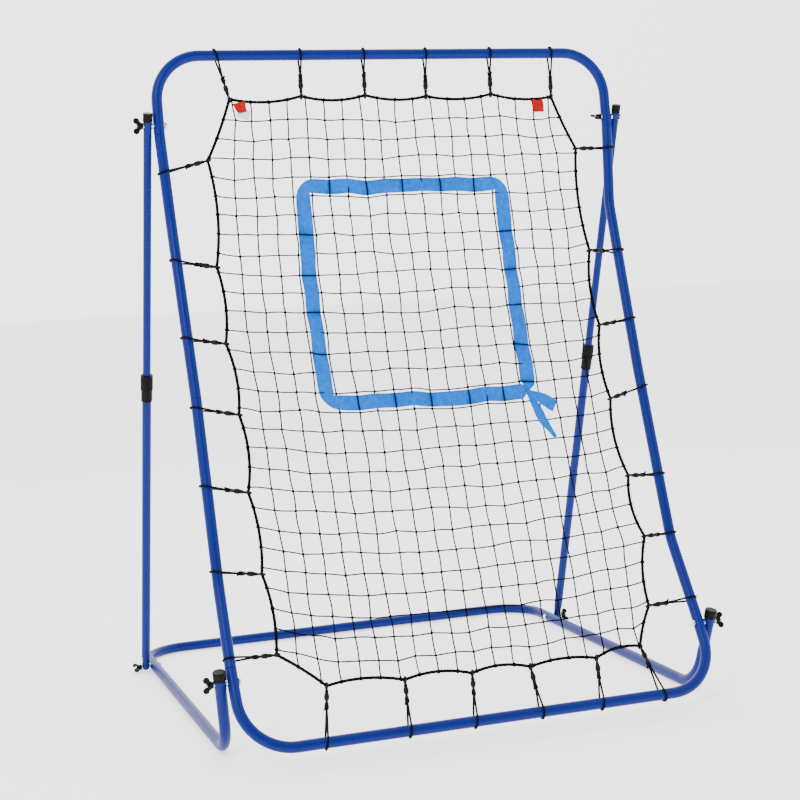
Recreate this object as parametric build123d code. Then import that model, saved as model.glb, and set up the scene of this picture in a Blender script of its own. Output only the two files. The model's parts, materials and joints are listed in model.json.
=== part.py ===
from build123d import *
import math
import os

# Pitch back rebounder: a net hung by elastic ties in a tilted tube frame, which is hinged
# to a U-shaped floor base and held up by two telescoping struts.
# Units are mm. +Z is up, +X is the object's right seen from the front, and the front is -Y.
# The origin is on the floor, below the centre of the whole object's box.

# --- driving dimensions: tubes ---
TUBE_OD = 25.0
TUBE_WALL = 1.2
TUBE_R = TUBE_OD / 2
JOINT_GAP = 0.9            # the visible line between two plugged tubes
SPIGOT_LENGTH = 45.0       # swaged end that plugs into the next tube
SPIGOT_CLEARANCE = 0.2
BOLT_R = 4.0
BOLT_HOLE_R = 4.08         # running fit on the bolts

# --- driving dimensions: front frame, seen from the side ---
LOWER_RUN = 370.0          # bottom rail to the lower press bend
MIDDLE_RUN = 840.0         # between the two press bends
UPPER_RUN = 374.0          # upper press bend to the top rail
LOWER_LEAN = 31.8          # degrees back from upright
MIDDLE_LEAN = 18.9
UPPER_LEAN = 6.2
BOTTOM_RAIL_Z = 41.0       # the bottom rail's centre above the floor
PRESS_BEND_R = 160.0
BOTTOM_CORNER_R = 112.0
TOP_CORNER_R = 105.0

# --- half widths of the front frame, which the net pulls in at the middle ---
BOTTOM_HALF = 549.0
LOWER_BEND_HALF = 544.0
MIDDLE_HALF = 541.5
UPPER_BEND_HALF = 548.0
TOP_HALF = 558.0

# --- stations along the front frame ---
PIVOT_RUN = 155.0          # bottom rail to the front pivot bolt
LOWER_JOINT_RUN = 185.0    # bottom rail to the lower tube joint
TOP_JOINT_RUN = 180.0      # top rail to the upper tube joint
STRUT_BOLT_RUN = 158.5     # top rail to the strut's bolt

# --- base ---
RAIL_HALF = 560.0
POST_GAP = 2.6             # between the frame tube and the post, at the bolt
POST_SPLAY_ROOM = 0.95     # room for the post's outward slant beside its washers
POST_FOOT_BACK = 43.0      # how far behind the pivot the post's line meets the floor tube
POST_BEND_R = 95.0
POST_TOP = 27.0            # post end above the pivot bolt
REAR_BOLT_BACK = 885.0     # front pivot to the rear bolt, along the floor
REAR_JOINT_BACK = 899.0
REAR_RAIL_BACK = 1060.0
REAR_CORNER_R = 115.0

# --- struts ---
STRUT_HALF = 583.5
STRUT_LOWER_OD = 22.0
STRUT_UPPER_OD = 19.0
STRUT_UPPER_WALL = 1.2
STRUT_FIT = 0.1
STRUT_FOOT_R = 9.5
STRUT_FOOT_LENGTH = 30.0   # the swaged foot of the lower tube, from its bolt
COLLAR_START = 755.0       # along the strut, from the rear bolt
COLLAR_SPLIT = 783.0
COLLAR_END = 823.0
COLLAR_BASE_R = 13.6
COLLAR_SLEEVE_R = 15.0
COLLAR_EDGE_R = 1.8
SPLIT_LINE = 0.3           # gap between the collar's two halves
TUBE_IN_COLLAR = 6.0       # the lower tube stops this far below the collar's split
FLUTES = 10
FLUTE_R = 2.6
FLUTE_SET = 1.6            # flute axis outside the sleeve's surface
FLUTE_MARGIN = 6.0         # plain sleeve left at each end of the flutes
UPPER_INSERT = 250.0       # length of upper tube inside the lower one
STRUT_TOP = 27.0
OPEN_PIVOT_R = 6.9         # clearance hole in the frame for the strut's top bolt

# --- caps, bolts and wing nuts ---
CAP_LENGTH = 20.0
POST_CAP_R = 14.0
STRUT_CAP_R = 10.8
WASHER_R = 7.5
WASHER_THICK = 1.4
HEAD_R = 8.0
HEAD_HEIGHT = 4.5
NUT_HUB_R = 6.2
NUT_HUB_LENGTH = 13.0
NUT_HUB_FLARE = 1.2        # how much wider the hub is at its base
WING_REACH = 18.5
WING_THICK = 4.6
WING_LOBE_R = 7.0
WING_ROOT = (4.0, 5.0)     # start of a wing: across from the bolt, and along it
WING_RISE = 14.5           # lobe centre along the bolt
WING_ARM_WIDTH = 8.0
BOLT_PAST_NUT = 2.5
FACE_GAP = 0.1             # clearance between two faces that bear on each other
CAP_CROWN = 2.5            # solid top of a cap
CAP_EDGE_R = 2.0
CAP_GRIP = 0.05            # radial room between a cap and its tube

# --- net, rope and ties ---
NET_BOTTOM_RUN = 150.0     # bottom rail to the start of the net's arc, up the frame
NET_TOP_RUN = 112.0        # top rail to the end of the net's arc, down the frame
NET_FORWARD = 28.0         # the net's middle stands this far in front of the side tubes
NET_THICK = 1.4
NET_INSET = 11.0           # rope line to the net panel's edge
ROPE_R = 3.5
ELASTIC_R = 2.0
ELASTIC_ROOM = 2.4         # between the elastic and its tube
KNOT_R = 4.5
HOOK_LENGTH = 43.0
HOOK_WIRE_R = 1.5
HOOK_RING_R = 6.0
HOOK_EYE_R = 4.6
HOOK_SHANK_R = 3.0

# Each tie: its place along the rail or side tube, then the place where its hook holds the
# rope, as x and as the arc length up the net from NET_LOW.
TOP_TIES = [
    (-415, -390, 1323), (-215, -218, 1328), (-60, -62, 1328),
    (95, 90, 1323), (260, 257, 1326), (420, 415, 1317),
]
BOTTOM_TIES = [
    (-375, -350, -28), (-190, -175, -37), (-40, -20, -42),
    (115, 118, -45), (260, 279, -45), (410, 391, -31),
]
LEFT_TIES = [
    (205, -448, 51), (402, -454, 227), (590, -459, 409), (767, -456, 585),
    (928, -465, 749), (1111, -464, 927), (1319, -456, 1178),
]
RIGHT_TIES = [
    (214, 434, 57), (380, 460, 219), (523, 450, 366), (739, 442, 555),
    (910, 448, 737), (1086, 455, 924), (1348, 461, 1183),
]

# --- strike zone ribbon and tags, as x and arc length up the net ---
RIBBON_WIDTH = 33.0
RIBBON_THICK = 1.0
RIBBON_LIFT = 0.3          # ribbon's back face in front of the net
ZONE_HALF = 260.0
ZONE_BOTTOM = 580.0
ZONE_TOP = 1115.0
LONG_TAIL = (24, 100)      # how far each tail reaches outwards and down from the zone's corner
SHORT_TAIL = (55, 20)
TAG_THICK = 0.8
RED_TAG_LEFT = (-384, -350, 1290, 1316)
WHITE_TAG_LEFT = (-378, -346, 1272, 1300)
RED_TAG_RIGHT = (360, 390, 1276, 1311)


def lean_step(start, run, lean):
    """The (y, z) point a run further up the frame, leaning back by lean degrees."""
    angle = math.radians(lean)
    return (start[0] + run * math.sin(angle), start[1] + run * math.cos(angle))


def between(a, b, run):
    """The point at a distance run from a towards b, for points of any dimension."""
    length = math.dist(a, b)
    return tuple(p + (q - p) * run / length for p, q in zip(a, b))


# The side profile as (y, z) points, first with the front pivot at y = 0.
profile_bottom = (-PIVOT_RUN * math.sin(math.radians(LOWER_LEAN)), BOTTOM_RAIL_Z)
FRONT_REACH = TUBE_R - profile_bottom[0]
REAR_REACH = REAR_RAIL_BACK + TUBE_R
PIVOT_Y = (FRONT_REACH - REAR_REACH) / 2
BOTTOM = (profile_bottom[0] + PIVOT_Y, BOTTOM_RAIL_Z)
LOWER_BEND = lean_step(BOTTOM, LOWER_RUN, LOWER_LEAN)
UPPER_BEND = lean_step(LOWER_BEND, MIDDLE_RUN, MIDDLE_LEAN)
MIDDLE = lean_step(LOWER_BEND, MIDDLE_RUN / 2, MIDDLE_LEAN)
TOP = lean_step(UPPER_BEND, UPPER_RUN, UPPER_LEAN)
PIVOT = between(BOTTOM, LOWER_BEND, PIVOT_RUN)
LOWER_JOINT = between(BOTTOM, LOWER_BEND, LOWER_JOINT_RUN)
TOP_JOINT = between(TOP, UPPER_BEND, TOP_JOINT_RUN)
STRUT_TOP_BOLT = between(TOP, UPPER_BEND, STRUT_BOLT_RUN)
REAR_BOLT = (PIVOT_Y + REAR_BOLT_BACK, TUBE_R)
POST_HALF = BOTTOM_HALF + TUBE_OD + POST_GAP
STRUT_UP = Vector(0, STRUT_TOP_BOLT[0] - REAR_BOLT[0], STRUT_TOP_BOLT[1] - REAR_BOLT[1]).normalized()
STRUT_LENGTH = math.dist(REAR_BOLT, STRUT_TOP_BOLT)

NET_LOW = between(BOTTOM, LOWER_BEND, NET_BOTTOM_RUN)
NET_HIGH = between(TOP, UPPER_BEND, NET_TOP_RUN)
NET_MID = (MIDDLE[0] - NET_FORWARD, MIDDLE[1])


def circle_through(a, b, c):
    """Centre and radius of the circle through three (y, z) points."""
    d = 2 * (a[0] * (b[1] - c[1]) + b[0] * (c[1] - a[1]) + c[0] * (a[1] - b[1]))
    squares = [p[0] ** 2 + p[1] ** 2 for p in (a, b, c)]
    y = (squares[0] * (b[1] - c[1]) + squares[1] * (c[1] - a[1]) + squares[2] * (a[1] - b[1])) / d
    z = (squares[0] * (c[0] - b[0]) + squares[1] * (a[0] - c[0]) + squares[2] * (b[0] - a[0])) / d
    return (y, z), math.dist((y, z), a)


NET_CENTRE, NET_RADIUS = circle_through(NET_LOW, NET_MID, NET_HIGH)
NET_START_ANGLE = math.atan2(NET_LOW[1] - NET_CENTRE[1], NET_LOW[0] - NET_CENTRE[0])


def net_yz(run, forward=0.0):
    """The (y, z) point at an arc length up the net, moved to the front by forward."""
    angle = NET_START_ANGLE + run / NET_RADIUS
    radius = NET_RADIUS - forward
    return (NET_CENTRE[0] + radius * math.cos(angle), NET_CENTRE[1] + radius * math.sin(angle))


def net_point(x, run, forward=0.0):
    return Vector(x, *net_yz(run, forward))


# --- small shapes ---
def rod(start, end, radius):
    """A plain cylinder between two points."""
    axis = Vector(*end) - Vector(*start)
    return Solid.make_cylinder(radius, axis.length, Plane(origin=Vector(*start), z_dir=axis))


def pipe(start, end, outer, inner):
    """A hollow cylinder between two points."""
    return rod(start, end, outer) - rod(start, end, inner)


def rim_near(part, point):
    """The circular edge of a part whose centre is nearest to a point."""
    target = Vector(*point)
    circles = part.edges().filter_by(GeomType.CIRCLE)
    return min(circles, key=lambda edge: (edge.arc_center - target).length)


def swept(path, radius):
    """A round bar along a path."""
    section = Plane(origin=path @ 0, z_dir=path % 0) * Circle(radius)
    return sweep(section, path=path)


def tube(points, radii):
    """A hollow frame tube along straight runs, with a bend radius at each inner point."""
    path = FilletPolyline(*points, radius=radii) if radii else Polyline(*points)
    return swept(path, TUBE_R) - swept(path, TUBE_R - TUBE_WALL)


def spigot(joint, towards):
    """The swaged end past a joint, with the short neck that carries it."""
    bore = TUBE_R - TUBE_WALL - SPIGOT_CLEARANCE
    tip = between(joint, towards, SPIGOT_LENGTH)
    neck = between(joint, towards, -8.0)
    rim = between(joint, towards, -0.6)
    body = pipe(neck, tip, bore, bore - TUBE_WALL)
    return body + pipe(neck, rim, TUBE_R - TUBE_WALL / 2, bore - TUBE_WALL)


def cross_hole(part, yz, radius):
    """Drill a part right through along X."""
    return part - rod((-700, *yz), (700, *yz), radius)


def mirror_x(part):
    return part.mirror(Plane.YZ)


# --- front frame ---
def at(half, yz):
    return (half, yz[0], yz[1])


def bottom_rail_tube():
    half = BOTTOM_HALF
    end = between(LOWER_JOINT, BOTTOM, JOINT_GAP / 2)
    points = [at(-half, end), at(-half, BOTTOM), at(half, BOTTOM), at(half, end)]
    return cross_hole(tube(points, [BOTTOM_CORNER_R] * 2), PIVOT, BOLT_HOLE_R)


def top_rail_tube():
    half = TOP_HALF
    end = between(TOP_JOINT, TOP, JOINT_GAP / 2)
    points = [at(-half, end), at(-half, TOP), at(half, TOP), at(half, end)]
    return cross_hole(tube(points, [TOP_CORNER_R] * 2), STRUT_TOP_BOLT, OPEN_PIVOT_R)


def lower_side_tube():
    """The right lower side tube, with a spigot down into the bottom rail's leg."""
    joint = at(BOTTOM_HALF, LOWER_JOINT)
    start = between(joint, at(LOWER_BEND_HALF, LOWER_BEND), JOINT_GAP / 2)
    bend = at(LOWER_BEND_HALF, LOWER_BEND)
    middle = at(MIDDLE_HALF, MIDDLE)
    end = between(middle, bend, JOINT_GAP / 2)
    part = tube([start, bend, end], [PRESS_BEND_R]) + spigot(joint, at(BOTTOM_HALF, BOTTOM))
    return cross_hole(part, PIVOT, BOLT_HOLE_R)


def upper_side_tube():
    """The right upper side tube, with spigots down into the lower tube and up into the top rail."""
    joint = at(TOP_HALF, TOP_JOINT)
    bend = at(UPPER_BEND_HALF, UPPER_BEND)
    middle = at(MIDDLE_HALF, MIDDLE)
    start = between(middle, bend, JOINT_GAP / 2)
    end = between(joint, bend, JOINT_GAP / 2)
    part = tube([start, bend, end], [PRESS_BEND_R]) + spigot(joint, at(TOP_HALF, TOP))
    part = part + spigot(middle, at(LOWER_BEND_HALF, LOWER_BEND))
    return cross_hole(part, STRUT_TOP_BOLT, OPEN_PIVOT_R)


# --- base ---
def post_line():
    """The right post: its foot on the floor tube's line, and its top."""
    foot = (RAIL_HALF, PIVOT_Y + POST_FOOT_BACK, TUBE_R)
    pivot = at(POST_HALF, PIVOT)
    return foot, between(pivot, foot, -POST_TOP)


def base_rail():
    """The right floor tube, bent up at the front into the post."""
    foot, top = post_line()
    end = (RAIL_HALF, PIVOT_Y + REAR_JOINT_BACK - JOINT_GAP / 2, TUBE_R)
    part = tube([top, foot, end], [POST_BEND_R])
    return cross_hole(cross_hole(part, PIVOT, BOLT_HOLE_R), REAR_BOLT, BOLT_HOLE_R)


def base_rear_tube():
    """The rear U on the floor, with a spigot forward into each side rail."""
    joint_y = PIVOT_Y + REAR_JOINT_BACK
    rear_y = PIVOT_Y + REAR_RAIL_BACK
    start_y = joint_y + JOINT_GAP / 2
    corners = [(-RAIL_HALF, start_y), (-RAIL_HALF, rear_y), (RAIL_HALF, rear_y), (RAIL_HALF, start_y)]
    part = tube([(x, y, TUBE_R) for x, y in corners], [REAR_CORNER_R] * 2)
    for half in (-RAIL_HALF, RAIL_HALF):
        part = part + spigot((half, joint_y, TUBE_R), (half, PIVOT_Y, TUBE_R))
    return cross_hole(part, REAR_BOLT, BOLT_HOLE_R)


def end_cap(top, below, radius, bore):
    """A moulded cap with a slightly domed top, pushed over a tube's end."""
    skirt = between(top, below, CAP_LENGTH - CAP_CROWN)
    crown = between(top, below, -CAP_CROWN)
    cap = rod(skirt, crown, radius)
    cap = fillet(rim_near(cap, crown), CAP_EDGE_R)
    return cap - rod(skirt, top, bore)


# --- struts, right side ---
def on_strut(run, half=STRUT_HALF):
    """The point at a distance up the strut from its rear bolt."""
    point = Vector(half, *REAR_BOLT) + STRUT_UP * run
    return (point.X, point.Y, point.Z)


def strut_lower_tube():
    bore = STRUT_UPPER_OD / 2 + STRUT_FIT
    outer = STRUT_LOWER_OD / 2
    top = COLLAR_SPLIT - TUBE_IN_COLLAR
    part = rod(on_strut(STRUT_FOOT_LENGTH), on_strut(top), outer)
    part = part - rod(on_strut(STRUT_FOOT_LENGTH + 12), on_strut(top + 1), bore)
    foot = rod(on_strut(0), on_strut(STRUT_FOOT_LENGTH + 1), STRUT_FOOT_R)
    ball = Pos(*on_strut(0)) * Sphere(STRUT_FOOT_R)
    part = part + foot + ball
    part = part - rod(on_strut(6), on_strut(STRUT_FOOT_LENGTH + 14), STRUT_FOOT_R - 1.6)
    return cross_hole(part, REAR_BOLT, BOLT_HOLE_R)


def strut_upper_tube():
    start = COLLAR_SPLIT - TUBE_IN_COLLAR - UPPER_INSERT
    outer = STRUT_UPPER_OD / 2
    part = pipe(on_strut(start), on_strut(STRUT_LENGTH + STRUT_TOP), outer, outer - STRUT_UPPER_WALL)
    return cross_hole(part, STRUT_TOP_BOLT, BOLT_HOLE_R)


def collar_base():
    """The fixed lower half of the twist lock, on the lower tube's end."""
    part = rod(on_strut(COLLAR_START), on_strut(COLLAR_SPLIT - SPLIT_LINE), COLLAR_BASE_R)
    part = fillet(rim_near(part, on_strut(COLLAR_START)), COLLAR_EDGE_R)
    step = COLLAR_SPLIT - TUBE_IN_COLLAR
    part = part - rod(on_strut(COLLAR_START - 1), on_strut(step), STRUT_LOWER_OD / 2 + CAP_GRIP)
    return part - rod(on_strut(step - 1), on_strut(COLLAR_SPLIT + 1), STRUT_UPPER_OD / 2 + STRUT_FIT)


def twist_sleeve():
    """The turning upper half of the twist lock, with shallow grip flutes."""
    part = rod(on_strut(COLLAR_SPLIT), on_strut(COLLAR_END), COLLAR_SLEEVE_R)
    for station in (COLLAR_SPLIT, COLLAR_END):
        part = fillet(rim_near(part, on_strut(station)), COLLAR_EDGE_R)
    plane = Plane(origin=on_strut(COLLAR_SPLIT + FLUTE_MARGIN), z_dir=STRUT_UP)
    length = COLLAR_END - COLLAR_SPLIT - 2 * FLUTE_MARGIN
    reach = COLLAR_SLEEVE_R + FLUTE_SET
    for i in range(FLUTES):
        angle = 2 * math.pi * i / FLUTES
        centre = plane.from_local_coords(Vector(reach * math.cos(angle), reach * math.sin(angle), 0))
        part = part - Solid.make_cylinder(FLUTE_R, length, Plane(origin=centre, z_dir=STRUT_UP))
    bore = STRUT_UPPER_OD / 2 + STRUT_FIT
    return part - rod(on_strut(COLLAR_SPLIT - 1), on_strut(COLLAR_END + 1), bore)


# --- bolts, washers and wing nuts ---
def bolt(head_x, nut_x, yz):
    """A domed-head bolt along X, from the head's bearing face to past the wing nut."""
    out = 1 if nut_x > head_x else -1
    shank = rod((head_x - out, *yz), (nut_x + out * (NUT_HUB_LENGTH + BOLT_PAST_NUT), *yz), BOLT_R)
    plane = Plane(origin=(head_x, *yz), z_dir=(-out, 0, 0))
    head = Solid.make_cylinder(HEAD_R, HEAD_HEIGHT, plane)
    crown = rim_near(head, (head_x - out * HEAD_HEIGHT, *yz))
    return shank + fillet(crown, HEAD_HEIGHT - 1.2)


def washer(x, towards, yz, thick=WASHER_THICK, radius=WASHER_R):
    """A flat washer on a bolt along X, starting at x and growing towards the given side."""
    return pipe((x, *yz), (x + towards * thick, *yz), radius, BOLT_R + 0.15)


def wing_nut(x, out, yz, turn):
    """A moulded wing nut: a tapered hub and two rounded wings that lean outwards."""
    base = Plane(origin=(x, *yz), z_dir=(out, 0, 0), x_dir=(0, math.cos(turn), math.sin(turn)))
    part = Solid.make_cone(NUT_HUB_R + NUT_HUB_FLARE, NUT_HUB_R, NUT_HUB_LENGTH, base)
    thick_dir = base.y_dir
    for side in (-1, 1):
        # local x is across the wings, local z is along the bolt
        root = base.from_local_coords(Vector(side * WING_ROOT[0], 0, WING_ROOT[1]))
        tip = base.from_local_coords(Vector(side * (WING_REACH - WING_LOBE_R), 0, WING_RISE))
        lobe_plane = Plane(origin=tip - thick_dir * (WING_THICK / 2), z_dir=thick_dir)
        lobe = Solid.make_cylinder(WING_LOBE_R, WING_THICK, lobe_plane)
        lobe = fillet(lobe.edges().filter_by(GeomType.CIRCLE), 1.8)
        arm_plane = Plane(origin=root, z_dir=(tip - root).normalized(), x_dir=thick_dir)
        arm = extrude(arm_plane * Rectangle(WING_THICK - 0.4, WING_ARM_WIDTH), (tip - root).length)
        part = part + arm + lobe
    return part - rod((x - out, *yz), (x + out * (NUT_HUB_LENGTH + 30), *yz), BOLT_HOLE_R)


# --- net, rope, ribbon and tags ---
def arc_strip(x_low, x_high, run_low, run_high, forward, thick):
    """A thin curved sheet parallel to the net: front face at forward, given thickness behind it."""
    mid = (run_low + run_high) / 2
    back = forward - thick
    front_arc = ThreePointArc(*[net_yz(run, forward) for run in (run_low, mid, run_high)])
    back_arc = ThreePointArc(*[net_yz(run, back) for run in (run_high, mid, run_low)])
    side_high = Line(front_arc @ 1, back_arc @ 0)
    side_low = Line(back_arc @ 1, front_arc @ 0)
    outline = make_face(Curve() + [front_arc, side_high, back_arc, side_low])
    placed = Plane(origin=(x_low, 0, 0), x_dir=(0, 1, 0), z_dir=(1, 0, 0)) * outline
    return extrude(placed, x_high - x_low, dir=(1, 0, 0))


def rope_points():
    """The rope's corners in order: along the bottom, up the right, back along the top, down the left."""
    ties = BOTTOM_TIES + RIGHT_TIES + TOP_TIES[::-1] + LEFT_TIES[::-1]
    return [net_point(x, run) for _, x, run in ties]


def net_border_rope():
    """The rope as straight spans between its hooks, cut back where two spans meet at an angle."""
    points = rope_points()
    spans = [(b - a).normalized() for a, b in zip(points, points[1:] + points[:1])]
    turns = [math.radians(before.get_angle(after)) for before, after in zip(spans[-1:] + spans[:-1], spans)]
    trims = [ROPE_R * math.tan(turn / 2) + FACE_GAP for turn in turns]
    rods = []
    for i, along in enumerate(spans):
        j = (i + 1) % len(points)
        rods.append(rod(points[i] + along * trims[i], points[j] - along * trims[j], ROPE_R))
    return Compound(rods)


def net_panel():
    corners = [(p.X, p.Z) for p in rope_points()]
    face = make_face(Polyline(*corners, close=True))
    face = offset(face, -NET_INSET)
    block = extrude(Plane(origin=(0, -700, 0), x_dir=(1, 0, 0), z_dir=(0, -1, 0)) * face, -1400)
    sheet = arc_strip(-500, 500, -60, 1340, NET_THICK / 2, NET_THICK)
    return sheet & block


def zone_tail(reach_out, reach_down, forward):
    """One tail of the ribbon, from the zone's lower right corner."""
    start = ZONE_HALF - 1
    low = ZONE_BOTTOM - reach_down
    return arc_strip(start, ZONE_HALF + reach_out, low, ZONE_BOTTOM + 12, forward, RIBBON_THICK)


def strike_zone_ribbon():
    """A square ring of flat ribbon on the net's front, with two tails at its lower right corner."""
    forward = NET_THICK / 2 + RIBBON_LIFT + RIBBON_THICK
    w = RIBBON_WIDTH
    cut = RIBBON_THICK + 2
    outer = arc_strip(-ZONE_HALF, ZONE_HALF, ZONE_BOTTOM, ZONE_TOP, forward, RIBBON_THICK)
    inner = arc_strip(w - ZONE_HALF, ZONE_HALF - w, ZONE_BOTTOM + w, ZONE_TOP - w, forward + 1, cut)
    return outer - inner + zone_tail(*LONG_TAIL, forward) + zone_tail(*SHORT_TAIL, forward)


def tag(x_low, x_high, run_low, run_high, forward):
    return arc_strip(x_low, x_high, run_low, run_high, forward, TAG_THICK)


# --- ties ---
def side_path(run, side):
    """The point and direction of a side tube's centre line at a run from the bottom rail."""
    halves = [BOTTOM_HALF, LOWER_BEND_HALF, MIDDLE_HALF, UPPER_BEND_HALF, TOP_HALF, TOP_HALF]
    stations = [BOTTOM, LOWER_BEND, MIDDLE, UPPER_BEND, TOP_JOINT, TOP]
    corners = [Vector(side * half, *yz) for half, yz in zip(halves, stations)]
    for a, b in zip(corners, corners[1:]):
        length = (b - a).length
        if run <= length:
            return a + (b - a) * (run / length), (b - a).normalized()
        run -= length
    raise ValueError("the tie is past the top rail")


def tie_ends(group):
    """For each tie of a group: the tube's centre point, the tube's direction and the rope point."""
    ends = []
    sides = {"top": TOP_TIES, "bottom": BOTTOM_TIES, "left": LEFT_TIES, "right": RIGHT_TIES}
    for place, x, run in sides[group]:
        if group in ("top", "bottom"):
            centre = Vector(place, *(TOP if group == "top" else BOTTOM))
            direction = Vector(1, 0, 0)
        else:
            centre, direction = side_path(place, -1 if group == "left" else 1)
        ends.append((centre, direction, net_point(x, run)))
    return ends


def elastic_loop(centre, direction, hold):
    """A teardrop of elastic round the tube, closed by a knot near the hook's eye."""
    reach = (hold - centre).length
    toward = (hold - centre).normalized()
    slant = math.sqrt(1 - toward.dot(direction) ** 2)
    loop_r = TUBE_R / slant + ELASTIC_R + ELASTIC_ROOM
    knot = reach - HOOK_LENGTH - HOOK_EYE_R
    half_gap = ELASTIC_R + 0.15
    tangent = math.atan2(half_gap, knot) + math.acos(loop_r / math.hypot(knot, half_gap))
    plane = Plane(origin=centre, x_dir=toward, z_dir=toward.cross(direction.cross(toward)))
    touch = (loop_r * math.cos(tangent), loop_r * math.sin(tangent))
    upper = Line((knot, half_gap), touch)
    arc = ThreePointArc(touch, (-loop_r, 0), (touch[0], -touch[1]))
    lower = Line((touch[0], -touch[1]), (knot, -half_gap))
    path = plane * Wire([upper.edge(), arc.edge(), lower.edge()])
    knot_start = plane.from_local_coords(Vector(knot - KNOT_R, 0, 0))
    knot_end = plane.from_local_coords(Vector(knot + KNOT_R, 0, 0))
    return swept(path, ELASTIC_R) + rod(knot_start, knot_end, KNOT_R)


def tie_hook(centre, direction, hold):
    """A hook: a ring round the rope, a shank and a small eye at the elastic's knot."""
    back = (centre - hold).normalized()
    normal = direction.cross(back).normalized()
    plane = Plane(origin=hold, x_dir=back, z_dir=normal.cross(back))
    ring = plane * Torus(HOOK_RING_R, HOOK_WIRE_R)
    eye_at = HOOK_LENGTH - HOOK_EYE_R - HOOK_WIRE_R
    eye = Plane(origin=hold + back * eye_at, x_dir=back, z_dir=plane.z_dir) * Torus(HOOK_EYE_R, HOOK_WIRE_R)
    shank = rod(hold + back * HOOK_RING_R, hold + back * (eye_at - HOOK_EYE_R), HOOK_SHANK_R)
    return ring + eye + shank


def export(shape, name):
    export_step(shape, "parts/" + name + ".step")


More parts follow.
